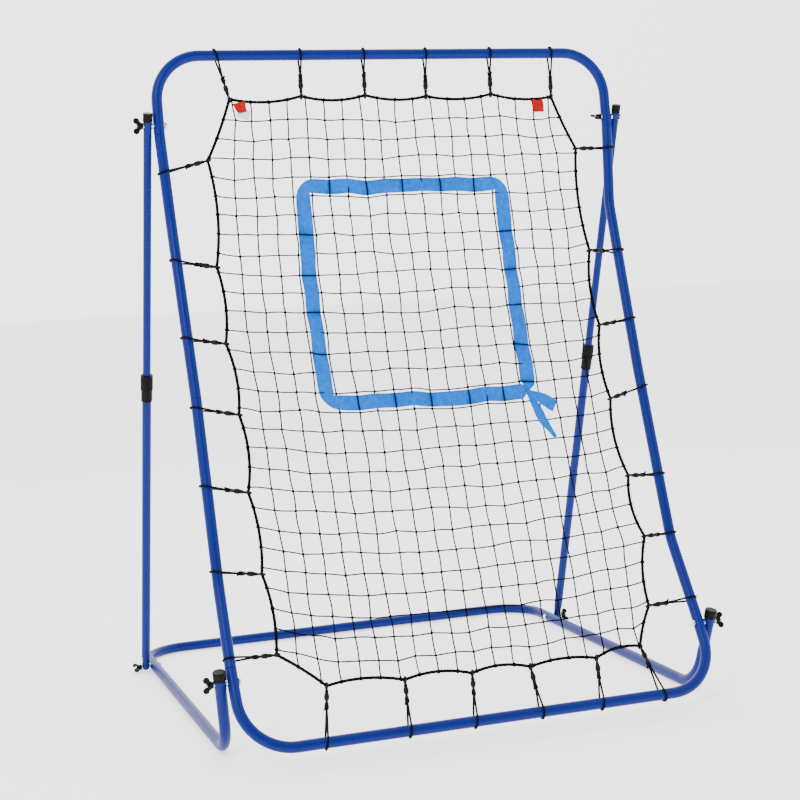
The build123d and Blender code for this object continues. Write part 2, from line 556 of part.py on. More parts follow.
def main():
    os.makedirs("parts", exist_ok=True)

    export(bottom_rail_tube(), "bottom_rail_tube")
    export(top_rail_tube(), "top_rail_tube")

    foot, post_top = post_line()
    strut_end = on_strut(STRUT_LENGTH + STRUT_TOP)
    sided = {
        "lower_side_tube": lower_side_tube(),
        "upper_side_tube": upper_side_tube(),
        "base_rail": base_rail(),
        "post_cap": end_cap(post_top, foot, POST_CAP_R, TUBE_R + CAP_GRIP),
        "strut_lower_tube": strut_lower_tube(),
        "strut_upper_tube": strut_upper_tube(),
        "strut_cap": end_cap(strut_end, on_strut(0), STRUT_CAP_R, STRUT_UPPER_OD / 2 + CAP_GRIP),
        "collar_base": collar_base(),
        "twist_sleeve": twist_sleeve(),
    }
    for name, part in sided.items():
        export(part, name + "_right")
        export(mirror_x(part), name + "_left")
    export(base_rear_tube(), "base_rear_tube")

    # front pivot bolts: head inside the frame tube, wing nut outside the post
    head_x = BOTTOM_HALF - TUBE_R
    nut_x = POST_HALF + TUBE_R + POST_SPLAY_ROOM + WASHER_THICK + FACE_GAP
    front = Part() + bolt(head_x - FACE_GAP, nut_x, PIVOT)
    export(Compound([front, mirror_x(front)]), "front_pivot_bolts")
    gap_x = BOTTOM_HALF + TUBE_R + FACE_GAP
    gap_thick = POST_GAP - POST_SPLAY_ROOM - 2 * FACE_GAP
    outer_washer_x = POST_HALF + TUBE_R + POST_SPLAY_ROOM
    front_washers = [washer(gap_x, 1, PIVOT, gap_thick), washer(outer_washer_x, 1, PIVOT)]
    export(Compound(front_washers + [mirror_x(w) for w in front_washers]), "front_washers")

    # rear bolts: head inside the rail, wing nut outside the strut's foot
    rear_head_x = RAIL_HALF - TUBE_R - FACE_GAP
    rear_nut_x = STRUT_HALF + STRUT_FOOT_R + WASHER_THICK + 2 * FACE_GAP
    rear = bolt(rear_head_x, rear_nut_x, REAR_BOLT)
    export(Compound([rear, mirror_x(rear)]), "rear_bolts")
    rear_gap = STRUT_HALF - STRUT_FOOT_R - RAIL_HALF - TUBE_R
    rear_washers = [
        washer(RAIL_HALF + TUBE_R + FACE_GAP, 1, REAR_BOLT, rear_gap - 2 * FACE_GAP),
        washer(STRUT_HALF + STRUT_FOOT_R + FACE_GAP, 1, REAR_BOLT),
    ]
    export(Compound(rear_washers + [mirror_x(w) for w in rear_washers]), "rear_washers")

    # top bolts: the left one has its wing nut outside, the right one has it inside the frame
    inner_x = TOP_HALF - TUBE_R - WASHER_THICK - 4 * FACE_GAP
    outer_x = STRUT_HALF + STRUT_UPPER_OD / 2 + FACE_GAP
    spacer_x = TOP_HALF + TUBE_R + 3 * FACE_GAP
    spacer_thick = outer_x - STRUT_UPPER_OD - spacer_x - 3 * FACE_GAP
    spacer = washer(spacer_x, 1, STRUT_TOP_BOLT, spacer_thick)
    inner_washer = washer(inner_x + WASHER_THICK, -1, STRUT_TOP_BOLT)
    left_nut_x = outer_x + WASHER_THICK + FACE_GAP
    left_bolt = bolt(inner_x - FACE_GAP, left_nut_x, STRUT_TOP_BOLT)
    left_washers = [spacer, inner_washer, washer(outer_x, 1, STRUT_TOP_BOLT)]
    export(mirror_x(left_bolt), "top_bolt_left")
    export(Compound([mirror_x(w) for w in left_washers]), "top_washers_left")
    right_nut_x = inner_x - FACE_GAP
    export(bolt(outer_x, right_nut_x, STRUT_TOP_BOLT), "top_bolt_right")
    export(Compound([spacer, inner_washer]), "top_washers_right")

    quarter = math.pi / 2
    nuts = {
        "wing_nut_front_left": (-nut_x, -1, PIVOT, quarter + 0.15),
        "wing_nut_front_right": (nut_x, 1, PIVOT, quarter - 0.25),
        "wing_nut_rear_left": (-rear_nut_x, -1, REAR_BOLT, 0.35),
        "wing_nut_rear_right": (rear_nut_x, 1, REAR_BOLT, quarter - 0.5),
        "wing_nut_top_left": (-left_nut_x, -1, STRUT_TOP_BOLT, quarter + 0.05),
        "wing_nut_top_right": (right_nut_x, -1, STRUT_TOP_BOLT, 0.3),
    }
    for name, (x, out, yz, turn) in nuts.items():
        export(wing_nut(x, out, yz, turn), name)

    export(net_panel(), "net_panel")
    export(net_border_rope(), "net_border_rope")
    export(strike_zone_ribbon(), "strike_zone_ribbon")
    front_face = NET_THICK / 2 + RIBBON_LIFT
    export(tag(*RED_TAG_LEFT, front_face + 2.2), "red_tag_left")
    export(tag(*WHITE_TAG_LEFT, front_face + 1.0), "white_tag_left")
    export(tag(*RED_TAG_RIGHT, front_face + 1.0), "red_tag_right")
    for group in ("top", "bottom", "left", "right"):
        ends = tie_ends(group)
        export(Compound([elastic_loop(*end).solid() for end in ends]), "elastic_loops_" + group)
        export(Compound([tie_hook(*end).solid() for end in ends]), "tie_hooks_" + group)


main()
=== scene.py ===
"""Looks of the pitch back rebounder: paint, plastic, knotted net, border rope, ties, ribbon and tags.

Everything is in metres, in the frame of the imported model. The places of the tubes, the net's
arc and the ties repeat the CAD's own numbers.
"""
import json
import math

import bpy
import numpy as np
from mathutils import Matrix, Vector


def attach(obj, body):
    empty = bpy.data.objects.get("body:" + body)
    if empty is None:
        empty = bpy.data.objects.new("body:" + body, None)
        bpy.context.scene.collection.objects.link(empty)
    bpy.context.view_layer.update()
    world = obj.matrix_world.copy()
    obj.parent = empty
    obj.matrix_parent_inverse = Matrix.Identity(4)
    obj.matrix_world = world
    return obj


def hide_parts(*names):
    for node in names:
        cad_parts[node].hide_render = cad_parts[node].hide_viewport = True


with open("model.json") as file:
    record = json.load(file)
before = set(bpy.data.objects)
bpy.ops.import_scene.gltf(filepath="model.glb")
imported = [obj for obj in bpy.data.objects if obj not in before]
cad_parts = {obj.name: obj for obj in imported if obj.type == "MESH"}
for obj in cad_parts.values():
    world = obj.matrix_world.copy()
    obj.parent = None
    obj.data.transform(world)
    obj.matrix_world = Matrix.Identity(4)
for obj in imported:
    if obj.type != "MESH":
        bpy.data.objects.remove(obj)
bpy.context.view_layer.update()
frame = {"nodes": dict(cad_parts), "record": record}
rng = np.random.default_rng(7)

MM = 0.001
UP = np.array([0.0, 0.0, 1.0])
SIDEWAYS = np.array([1.0, 0.0, 0.0])

# camera: where the object is seen from
CAMERA_AT = (-1.2867, -3.8667, 1.0565)
CAMERA_YAW = math.radians(18.59)      # turned to the object's right
CAMERA_PITCH = math.radians(-5.09)
CAMERA_ROLL = math.radians(-2.68)
CAMERA_LENS = 75.13

TUBE_R = 12.5 * MM
GROUPS = ("top", "bottom", "left", "right")

# net and border rope
NET_COLUMNS = 20
NET_ROWS = 29
TWINE_R = 1.7 * MM
KNOT_R = 3.5 * MM
MESH_BOW = 0.7 * MM                   # how far a mesh side strays from straight
RELAX_ROUNDS = 1500
ROW_STIFFNESS = 3.5                   # pull along the columns against the pull along the rows
KNOT_WEIGHT = 0.35 * MM
SETTLE = 5 * MM                       # how far the net hangs below its rope as a whole
ROPE_R = 3.4 * MM
ROPE_STEP = 3.5 * MM
ROPE_SIDES = 15
ROPE_LAY = 34 * MM                    # one turn of the rope's three strands
FUZZ_HAIRS = 2600
HITCH_R = 1.2 * MM

# elastic ties and hooks
ELASTIC_R = 2.3 * MM
ELASTIC_GAP = 1.6 * MM                # half the space between a loop's two legs at its knot
CRIMP_R = 2.9 * MM
HOOK_LENGTH = 43 * MM
HOOK_WIRE_R = 2.5 * MM
HOOK_TURNS = 1.1                      # twist of the two wires along the body
HOOK_BODY = (7.0 * MM, 11 * MM, 6.0 * MM)      # half sizes across, along and through
BILL_R = 6.3 * MM
BILL_ARC = math.radians(300)

# ribbon; lanes are counted in cells of the net
RIBBON_HALF = 18.0 * MM
RIBBON_THICK = 0.5 * MM
WEAVE = 2.3 * MM                      # how far it passes in front of and behind the twine
LEFT_COLUMN, RIGHT_COLUMN = 4, 15
TOP_ROW, BOTTOM_ROW = NET_ROWS - 5, NET_ROWS - 16
# the tails from the knot in mm: x, run, forward and half width
LONG_TAIL = [(-1, 2, 3, 3.5), (5, -16, 6, 6), (15, -42, 8, 11), (26, -72, 6, 12), (38, -96, 9, 7.5),
             (50, -116, 7, 5)]
SHORT_TAIL = [(-2, 2, 4, 3.5), (8, -6, 6, 7), (28, -19, 9, 13.5), (46, -31, 8, 16), (62, -42, 6, 16)]

# tags
TAG_CELLS = 14
TAG_HALF_THICK = 0.35 * MM


# ---------------------------------------------------------------- materials
def new_material(name):
    """A new material with its node tree and its shader."""
    material = bpy.data.materials.new(name)
    material.use_nodes = True
    tree = material.node_tree
    shader = tree.nodes["Principled BSDF"]
    return material, tree, shader


def add_node(tree, kind, inputs=None, **settings):
    node = tree.nodes.new(kind)
    for key, value in settings.items():
        setattr(node, key, value)
    for key, value in (inputs or {}).items():
        node.inputs[key].default_value = value
    return node


def ramp(tree, factor, stops):
    """A colour from factor by stops of (position, colour)."""
    node = tree.nodes.new("ShaderNodeValToRGB")
    elements = node.color_ramp.elements
    elements[0].position, elements[0].color = stops[0][0], (*stops[0][1], 1)
    elements[1].position, elements[1].color = stops[-1][0], (*stops[-1][1], 1)
    for position, color in stops[1:-1]:
        elements.new(position).color = (*color, 1)
    tree.links.new(factor, node.inputs["Fac"])
    return node.outputs["Color"]


def noise(tree, scale, detail=4.0, roughness=0.5):
    """Noise fixed to the object."""
    coords = tree.nodes.new("ShaderNodeTexCoord")
    node = add_node(tree, "ShaderNodeTexNoise", {"Scale": scale, "Detail": detail, "Roughness": roughness})
    tree.links.new(coords.outputs["Object"], node.inputs["Vector"])
    return node.outputs["Fac"]


def bump(tree, shader, height, strength, distance):
    node = add_node(tree, "ShaderNodeBump", {"Strength": strength, "Distance": distance})
    tree.links.new(height, node.inputs["Height"])
    tree.links.new(node.outputs["Normal"], shader.inputs["Normal"])


def number_range(tree, value, low, high, start=0.0):
    """Turns a value between start and 1 into one between low and high."""
    node = add_node(tree, "ShaderNodeMapRange", {"From Min": start, "To Min": low, "To Max": high})
    tree.links.new(value, node.inputs["Value"])
    return node.outputs["Result"]


def blue_paint():
    """Satin royal blue powder coat with a faint orange peel and slightly uneven gloss."""
    material, tree, shader = new_material("blue_powder_coat")
    shade = noise(tree, 9.0, 3.0)
    tree.links.new(ramp(tree, shade, [(0.3, (0.0004, 0.0085, 0.135)), (0.7, (0.0006, 0.0105, 0.16))]),
                   shader.inputs["Base Color"])
    tree.links.new(number_range(tree, noise(tree, 40.0), 0.36, 0.44), shader.inputs["Roughness"])
    shader.inputs["Specular IOR Level"].default_value = 0.16
    bump(tree, shader, noise(tree, 160.0, 1.0), 0.012, 0.0003)
    return material


def black_plastic():
    """Satin black moulded plastic with a fine grain and slightly lighter patches."""
    material, tree, shader = new_material("black_moulded_plastic")
    stops = [(0.35, (0.0015, 0.0015, 0.0018)), (0.8, (0.005, 0.005, 0.0055))]
    tree.links.new(ramp(tree, noise(tree, 70.0, 6.0), stops), shader.inputs["Base Color"])
    tree.links.new(number_range(tree, noise(tree, 160.0), 0.32, 0.5), shader.inputs["Roughness"])
    shader.inputs["Specular IOR Level"].default_value = 0.08
    bump(tree, shader, noise(tree, 900.0, 2.0), 0.25, 0.0003)
    return material


def plated_steel():
    """Bright zinc plate, a little cloudy."""
    material, tree, shader = new_material("zinc_plate")
    tree.links.new(ramp(tree, noise(tree, 120.0), [(0.3, (0.62, 0.63, 0.65)), (0.7, (0.82, 0.83, 0.85))]),
                   shader.inputs["Base Color"])
    shader.inputs["Metallic"].default_value = 1.0
    tree.links.new(number_range(tree, noise(tree, 260.0), 0.16, 0.34), shader.inputs["Roughness"])
    bump(tree, shader, noise(tree, 700.0), 0.1, 0.0002)
    return material


def black_cord(name, low, high, grain, roughness=0.85):
    """Black textile cord with a fibrous grain."""
    material, tree, shader = new_material(name)
    tree.links.new(ramp(tree, noise(tree, grain, 5.0, 0.7), [(0.3, (low,) * 3), (0.75, (high,) * 3)]),
                   shader.inputs["Base Color"])
    shader.inputs["Roughness"].default_value = roughness
    shader.inputs["Specular IOR Level"].default_value = 0.06
    bump(tree, shader, noise(tree, grain * 1.6, 3.0, 0.7), 0.6, 0.0005)
    return material


def hook_coat():
    """Black coated wire, fairly glossy."""
    material, tree, shader = new_material("black_coated_wire")
    stops = [(0.3, (0.0015, 0.0015, 0.0018)), (0.8, (0.004, 0.004, 0.0045))]
    tree.links.new(ramp(tree, noise(tree, 200.0), stops), shader.inputs["Base Color"])
    tree.links.new(number_range(tree, noise(tree, 350.0), 0.25, 0.45), shader.inputs["Roughness"])
    shader.inputs["Specular IOR Level"].default_value = 0.12
    bump(tree, shader, noise(tree, 800.0), 0.2, 0.0003)
    return material


def azure_ribbon():
    """Flat nonwoven ribbon: bright azure with a cloudy fibre grain."""
    material, tree, shader = new_material("azure_nonwoven")
    cloud = noise(tree, 95.0, 6.0, 0.65)
    stops = [(0.3, (0.0, 0.10, 0.48)), (0.55, (0.0, 0.14, 0.64)), (0.8, (0.0, 0.18, 0.80))]
    tree.links.new(ramp(tree, cloud, stops), shader.inputs["Base Color"])
    shader.inputs["Roughness"].default_value = 0.62
    shader.inputs["Specular IOR Level"].default_value = 0.04
    fibres = noise(tree, 700.0, 4.0, 0.7)
    bump(tree, shader, fibres, 0.35, 0.0004)
    return material


def tag_cloth(name, low, high, alpha=1.0):
    """Plain woven tag cloth: two crossed sets of threads."""
    material, tree, shader = new_material(name)
    tree.links.new(ramp(tree, noise(tree, 160.0, 5.0), [(0.3, low), (0.75, high)]),
                   shader.inputs["Base Color"])
    shader.inputs["Roughness"].default_value = 0.7
    shader.inputs["Specular IOR Level"].default_value = 0.2
    shader.inputs["Alpha"].default_value = alpha
    coords = tree.nodes.new("ShaderNodeTexCoord")
    weave = add_node(tree, "ShaderNodeMath", operation="ADD")
    for k, direction in enumerate(("X", "Z")):
        threads = add_node(tree, "ShaderNodeTexWave", {"Scale": 600.0, "Distortion": 1.0},
                           bands_direction=direction)
        tree.links.new(coords.outputs["Object"], threads.inputs["Vector"])
        tree.links.new(threads.outputs["Fac"], weave.inputs[k])
    bump(tree, shader, weave.outputs["Value"], 0.3, 0.0003)
    return material


# ---------------------------------------------------------------- mesh tools
def unit(vector):
    vector = np.asarray(vector, float)
    return vector / np.linalg.norm(vector)


def circle(steps):
    """Evenly spaced angles once round."""
    return np.linspace(0, 2 * math.pi, steps, endpoint=False)


class Builder:
    """Collects vertices and faces of many small closed shapes for one mesh."""

    def __init__(self):
        self.points = []
        self.faces = []
        self.count = 0

    def add(self, points, faces):
        """Adds a shape; its faces count its own points from 0."""
        self.points.append(np.asarray(points, float))
        self.faces.extend([tuple(i + self.count for i in face) for face in faces])
        self.count += len(points)

    def tube(self, path, radius, sides=8, closed=False):
        """A round bar along path; radius is one number or one for each point."""
        path = np.asarray(path, float)
        count = len(path)
        radii = np.broadcast_to(np.asarray(radius, float), (count,))
        if closed:
            tangents = np.roll(path, -1, 0) - np.roll(path, 1, 0)
        else:
            tangents = np.gradient(path, axis=0)
        tangents /= np.linalg.norm(tangents, axis=1)[:, None]
        side = unit(np.cross(tangents[0], UP if abs(tangents[0][2]) < 0.9 else SIDEWAYS))
        angles = circle(sides)
        rings = []
        for k in range(count):
            side = unit(side - tangents[k] * (side @ tangents[k]))
            other = np.cross(tangents[k], side)
            ring = np.cos(angles)[:, None] * side + np.sin(angles)[:, None] * other
            rings.append(path[k] + ring * radii[k])
        shift = 0
        if closed:      # the last ring meets the first at the nearest turn
            first = rings[0][0] - path[0]
            shift = -int(np.argmax([float((p - path[-1]) @ first) for p in rings[-1]]))
        faces = []
        for k in range(count if closed else count - 1):
            nxt = (k + 1) % count
            turn = shift if nxt == 0 else 0
            for a in range(sides):
                b = (a + 1) % sides
                row, col = k * sides, nxt * sides
                faces.append((row + a, row + b, col + (b + turn) % sides, col + (a + turn) % sides))
        if not closed:
            faces.append(tuple(range(sides))[::-1])
            faces.append(tuple((count - 1) * sides + a for a in range(sides)))
        self.add(np.concatenate(rings), faces)

    def blob(self, centre, axes, rings=4, sides=7):
        """A small rounded knot; axes are its three half-axis vectors."""
        axes = np.asarray(axes, float)
        points = [centre + axes[2]]
        for r in range(1, rings):
            phi = math.pi * r / rings
            for s in range(sides):
                theta = 2 * math.pi * (s + 0.5 * (r % 2)) / sides
                a, b = math.sin(phi) * math.cos(theta), math.sin(phi) * math.sin(theta)
                points.append(centre + a * axes[0] + b * axes[1] + math.cos(phi) * axes[2])
        points.append(centre - axes[2])
        faces = []
        last = len(points) - 1
        for s in range(sides):
            n = (s + 1) % sides
            faces.append((0, 1 + s, 1 + n))
            for r in range(rings - 2):
                a, b = 1 + r * sides, 1 + (r + 1) * sides
                faces.append((a + s, b + s, b + n, a + n))
            base = 1 + (rings - 2) * sides
            faces.append((base + s, last, base + n))
        self.add(points, faces)

    def strip(self, centres, acrosses, normals, half_widths, thick, cells, crown):
        """A closed thin strip; crown[k] bows cross-section k towards its normal."""
        rows = []
        count = len(centres)
        steps = np.linspace(-1, 1, cells + 1)
        for k in range(count):
            bow = np.outer(crown[k] * (1 - steps ** 2), normals[k])
            face = centres[k] + np.outer(steps * half_widths[k], acrosses[k]) + bow
            front = face + normals[k] * thick / 2
            back = (face - normals[k] * thick / 2)[::-1]
            rows.append(np.concatenate([front, back]))
        ring = 2 * (cells + 1)
        faces = []
        for k in range(count - 1):
            for a in range(ring):
                b = (a + 1) % ring
                faces.append((k * ring + a, (k + 1) * ring + a, (k + 1) * ring + b, k * ring + b))
        for k, flip in ((0, False), (count - 1, True)):
            for a in range(cells):
                quad = (k * ring + a, k * ring + a + 1, k * ring + ring - 2 - a, k * ring + ring - 1 - a)
                faces.append(quad[::-1] if flip else quad)
        self.add(np.concatenate(rows), faces)

    def make(self, name, material):
        """Makes the collected shapes one object in the scene."""
        mesh = bpy.data.meshes.new(name)
        mesh.from_pydata(np.concatenate(self.points).tolist(), [], self.faces)
        mesh.polygons.foreach_set("use_smooth", [True] * len(mesh.polygons))
        mesh.materials.append(material)
        mesh.update()
        piece = bpy.data.objects.new(name, mesh)
        bpy.context.scene.collection.objects.link(piece)
        return piece


def smooth_path(points, step, closed=False):
    """A Catmull-Rom curve through points, sampled about every step."""
    points = np.asarray(points, float)
    if closed:
        points = np.concatenate([points[-1:], points, points[:2]])
    else:
        points = np.concatenate([points[:1] * 2 - points[1:2], points, points[-1:] * 2 - points[-2:-1]])
    out = []
    for a, b, c, d in zip(points, points[1:], points[2:], points[3:]):
        count = max(2, int(np.linalg.norm(c - b) / step))
        for t in np.linspace(0, 1, count, endpoint=False):
            out.append(0.5 * (2 * b + (c - a) * t + (2 * a - 5 * b + 4 * c - d) * t ** 2
                              + (3 * b - a - 3 * c + d) * t ** 3))
    if not closed:
        out.append(points[-2])
    return np.array(out)


# ---------------------------------------------------------------- places of the tubes, the net and the ties
# a side tube's corners from the bottom rail up: half width, y and z
SIDE_STATIONS = [(0.549, -0.57084, 0.041), (0.544, -0.37587, 0.35545), (0.5415, -0.23983, 0.75281),
                 (0.548, -0.10379, 1.15018), (0.558, -0.08283, 1.34303), (0.558, -0.06338, 1.52198)]
# the net lies on an arc in (y, z)
NET_LOW = (-0.49180, 0.16848)
NET_MIDDLE = np.array([0.0, 0.68])    # in (x, run)
ARC_CENTRE = (-7.84266, 3.32309)
ARC_R = math.hypot(NET_LOW[0] - ARC_CENTRE[0], NET_LOW[1] - ARC_CENTRE[1])
LOW_ANGLE = math.atan2(NET_LOW[1] - ARC_CENTRE[1], NET_LOW[0] - ARC_CENTRE[0])

# each tie in mm: its place along the tube, then x and the run up the net of the rope point it holds
TIES = {
    "bottom": [(-375, -350, -28), (-190, -175, -37), (-40, -20, -42), (115, 118, -45), (260, 279, -45),
               (410, 391, -31)],
    "right": [(214, 434, 57), (380, 460, 219), (523, 450, 366), (739, 442, 555), (910, 448, 737),
              (1086, 455, 924), (1348, 461, 1183)],
    "top": [(-415, -390, 1323), (-215, -218, 1328), (-60, -62, 1328), (95, 90, 1323), (260, 257, 1326),
            (420, 415, 1317)],
    "left": [(205, -448, 51), (402, -454, 227), (590, -459, 409), (767, -456, 585), (928, -465, 749),
             (1111, -464, 927), (1319, -456, 1178)],
}
# how deep the rope's curve is between two ties
SCALLOP = {"bottom": 10 * MM, "right": 12 * MM, "top": 10 * MM, "left": 11 * MM, "corner": 3 * MM}

# the strands' places on the rope: columns as x at the bottom and at the top, rows as runs up the net
LEFT_EDGE_LOW, COLUMN_LOW = -448 * MM, 44.0 * MM
LEFT_EDGE_HIGH, COLUMN_HIGH = -429 * MM, 44.0 * MM
LEFT_ROW_START, LEFT_ROW = 62 * MM, 44.9 * MM
RIGHT_ROW_START, RIGHT_ROW = 22 * MM, 46.0 * MM


def on_net(x, run, forward=0.0):
    """The point of the net's surface at x and a run up it; forward moves it to the front."""
    angle = LOW_ANGLE + run / ARC_R
    radius = ARC_R - forward
    return np.array([x, ARC_CENTRE[0] + radius * math.cos(angle), ARC_CENTRE[1] + radius * math.sin(angle)])


def net_front(run):
    """The direction that points to the front at a run up the net."""
    angle = LOW_ANGLE + run / ARC_R
    return np.array([0.0, -math.cos(angle), -math.sin(angle)])


def net_up(run):
    """The direction up the net at a run up it."""
    angle = LOW_ANGLE + run / ARC_R
    return np.array([0.0, -math.sin(angle), math.cos(angle)])


def on_side(run, side):
    """The point and direction of a side tube's centre line at a run from the bottom rail."""
    corners = [np.array([side * half, y, z]) for half, y, z in SIDE_STATIONS]
    for a, b in zip(corners, corners[1:]):
        length = np.linalg.norm(b - a)
        if run <= length:
            return a + (b - a) * run / length, unit(b - a)
        run -= length
    return corners[-1], unit(corners[-1] - corners[-2])


def tie_places(group):
    """For each tie of a group: the tube's centre, the tube's direction and the rope point."""
    out = []
    for place, x, run in TIES[group]:
        if group in ("top", "bottom"):
            station = SIDE_STATIONS[-1 if group == "top" else 0]
            centre, direction = np.array([place * MM, station[1], station[2]]), SIDEWAYS
        else:
            centre, direction = on_side(place * MM, -1 if group == "left" else 1)
        out.append((centre, direction, on_net(x * MM, run * MM)))
    return out


# ---------------------------------------------------------------- net
def scallop(a, b, depth):
    """The rope's line in (x, run) between two ties, bowed towards the net's middle."""
    a, b = np.array(a), np.array(b)
    inward = np.array([-(b - a)[1], (b - a)[0]])
    inward /= np.linalg.norm(inward)
    if inward @ (NET_MIDDLE - a) < 0:
        inward = -inward
    uneven = rng.uniform(0.85, 1.15)
    return [a + (b - a) * t + inward * depth * uneven * 4 * t * (1 - t) for t in np.linspace(0, 1, 25)]


def border():
    """The rope's closed line in (x, run), anticlockwise from the lower left tie."""
    order = ["bottom", "right", "top", "left"]
    rows = {g: [(x * MM, run * MM) for _, x, run in TIES[g]] for g in order}
    rows["top"] = rows["top"][::-1]
    rows["left"] = rows["left"][::-1]
    line = []
    for k, group in enumerate(order):
        after = rows[order[(k + 1) % 4]][0]
        for a, b in zip(rows[group], rows[group][1:]):
            line += scallop(a, b, SCALLOP[group])[:-1]
        line += scallop(rows[group][-1], after, SCALLOP["corner"])[:-1]
    return np.array(line)


def crossing(line, axis, value, high):
    """Where the closed line crosses value on an axis: the highest or lowest point on the other axis."""
    found = []
    for a, b in zip(line, np.roll(line, -1, 0)):
        if (a[axis] - value) * (b[axis] - value) <= 0 and a[axis] != b[axis]:
            found.append(a + (b - a) * (value - a[axis]) / (b[axis] - a[axis]))
    found.sort(key=lambda p: p[1 - axis])
    return found[-1 if high else 0]


def strand_ends(line):
    """The ends of every strand on the rope, by column and by row."""
    ends = {"bottom": {}, "top": {}, "left": {}, "right": {}}
    for i in range(1, NET_COLUMNS):
        ends["bottom"][i] = crossing(line, 0, LEFT_EDGE_LOW + i * COLUMN_LOW, False)
        ends["top"][i] = crossing(line, 0, LEFT_EDGE_HIGH + i * COLUMN_HIGH, True)
    for j in range(1, NET_ROWS):
        ends["left"][j] = crossing(line, 1, LEFT_ROW_START + (j - 1) * LEFT_ROW, False)
        ends["right"][j] = crossing(line, 1, RIGHT_ROW_START + (j - 1) * RIGHT_ROW, True)
    return ends


def relax(ends):
    """The knots' places in (x, run): uneven springs pull each knot between its four neighbours."""
    grid = np.zeros((NET_COLUMNS + 1, NET_ROWS + 1, 2))
    for i in range(1, NET_COLUMNS):
        grid[i, 0], grid[i, -1] = ends["bottom"][i], ends["top"][i]
    for j in range(1, NET_ROWS):
        grid[0, j], grid[-1, j] = ends["left"][j], ends["right"][j]
        for i in range(1, NET_COLUMNS):
            grid[i, j] = grid[0, j] + (grid[-1, j] - grid[0, j]) * i / NET_COLUMNS
    pull_x = rng.uniform(0.86, 1.16, (NET_COLUMNS, NET_ROWS + 1, 1))
    pull_y = rng.uniform(0.86, 1.16, (NET_COLUMNS + 1, NET_ROWS, 1)) * np.array([1.0, ROW_STIFFNESS])
    weight = np.array([0.0, KNOT_WEIGHT])
    a, b = pull_x[:-1, 1:-1], pull_x[1:, 1:-1]
    c, d = pull_y[1:-1, :-1], pull_y[1:-1, 1:]
    for _ in range(RELAX_ROUNDS):
        total = a * grid[:-2, 1:-1] + b * grid[2:, 1:-1] + c * grid[1:-1, :-2] + d * grid[1:-1, 2:]
        grid[1:-1, 1:-1] = (total - weight) / (a + b + c + d)
    grid[1:-1, 1:-1, 1] -= SETTLE
    return grid


def strand(piece, knots):
    """One twine through its knots, each mesh side bowed a little."""
    path = [knots[0]]
    for a, b in zip(knots, knots[1:]):
        bow = rng.normal(0, MESH_BOW, 3)
        path += [a + (b - a) * 0.35 + bow, a + (b - a) * 0.68 + bow * 0.8, b]
    piece.tube(path, TWINE_R, 6)


def make_net(grid, material):
    """The knotted net: every twine both ways, and an uneven knot where two cross."""
    piece = Builder()
    space = np.zeros((NET_COLUMNS + 1, NET_ROWS + 1, 3))
    for i in range(NET_COLUMNS + 1):
        for j in range(NET_ROWS + 1):
            space[i, j] = on_net(*grid[i, j])
    for i in range(1, NET_COLUMNS):
        strand(piece, list(space[i]))
    for j in range(1, NET_ROWS):
        strand(piece, list(space[:, j]))
    for i in range(1, NET_COLUMNS):
        for j in range(1, NET_ROWS):
            front = net_front(grid[i, j][1])
            along = unit(space[i + 1, j + 1] - space[i - 1, j - 1])
            across = np.cross(front, along)
            size = KNOT_R * rng.uniform(0.85, 1.12)
            turn = rng.uniform(-0.5, 0.5)
            a = along * math.cos(turn) + across * math.sin(turn)
            b = across * math.cos(turn) - along * math.sin(turn)
            piece.blob(space[i, j], [a * size * 1.15, b * size * 0.85, front * size * 0.85])
    return piece.make("net_twine", material)


def make_rope(line):
    """Three-strand border rope, with its path and tangents for what is laid on it."""
    path = smooth_path([on_net(*p) for p in line], ROPE_STEP, closed=True)
    count = len(path)
    tangents = np.roll(path, -1, 0) - np.roll(path, 1, 0)
    tangents /= np.linalg.norm(tangents, axis=1)[:, None]
    lengths = np.linalg.norm(np.roll(path, -1, 0) - path, axis=1)
    turns = round(lengths.sum() / ROPE_LAY)
    twist = 0.0
    angles = circle(ROPE_SIDES)
    rings = []
    for k in range(count):
        front = np.array([0.0, -0.95, 0.3])
        front = unit(front - tangents[k] * (front @ tangents[k]))
        other = np.cross(tangents[k], front)
        radius = ROPE_R * (0.93 + 0.13 * np.abs(np.cos(1.5 * (angles - twist)))) * rng.uniform(0.97, 1.04)
        rings.append(path[k] + np.outer(np.cos(angles) * radius, front)
                     + np.outer(np.sin(angles) * radius, other))
        twist += 2 * math.pi * turns * lengths[k] / lengths.sum()
    faces = []
    for k in range(count):
        row, nxt = k * ROPE_SIDES, (k + 1) % count * ROPE_SIDES
        for a in range(ROPE_SIDES):
            b = (a + 1) % ROPE_SIDES
            faces.append((row + a, row + b, nxt + b, nxt + a))
    piece = Builder()
    piece.add(np.concatenate(rings), faces)
    return piece, path, tangents


def add_fuzz(piece, path, tangents):
    """Short loose fibres that stand off the rope."""
    for _ in range(FUZZ_HAIRS):
        k = rng.integers(len(path))
        out = rng.normal(size=3)
        out = unit(out - tangents[k] * (out @ tangents[k]))
        start = path[k] + out * ROPE_R * 0.85
        lean = unit(out + tangents[k] * rng.uniform(-1.6, 1.6))
        reach = rng.uniform(0.8, 2.6) * MM
        curl = rng.normal(0, 0.5, 3) * MM
        piece.tube([start, start + lean * reach * 0.5, start + lean * reach + curl],
                   [0.22 * MM, 0.18 * MM, 0.08 * MM], 3)


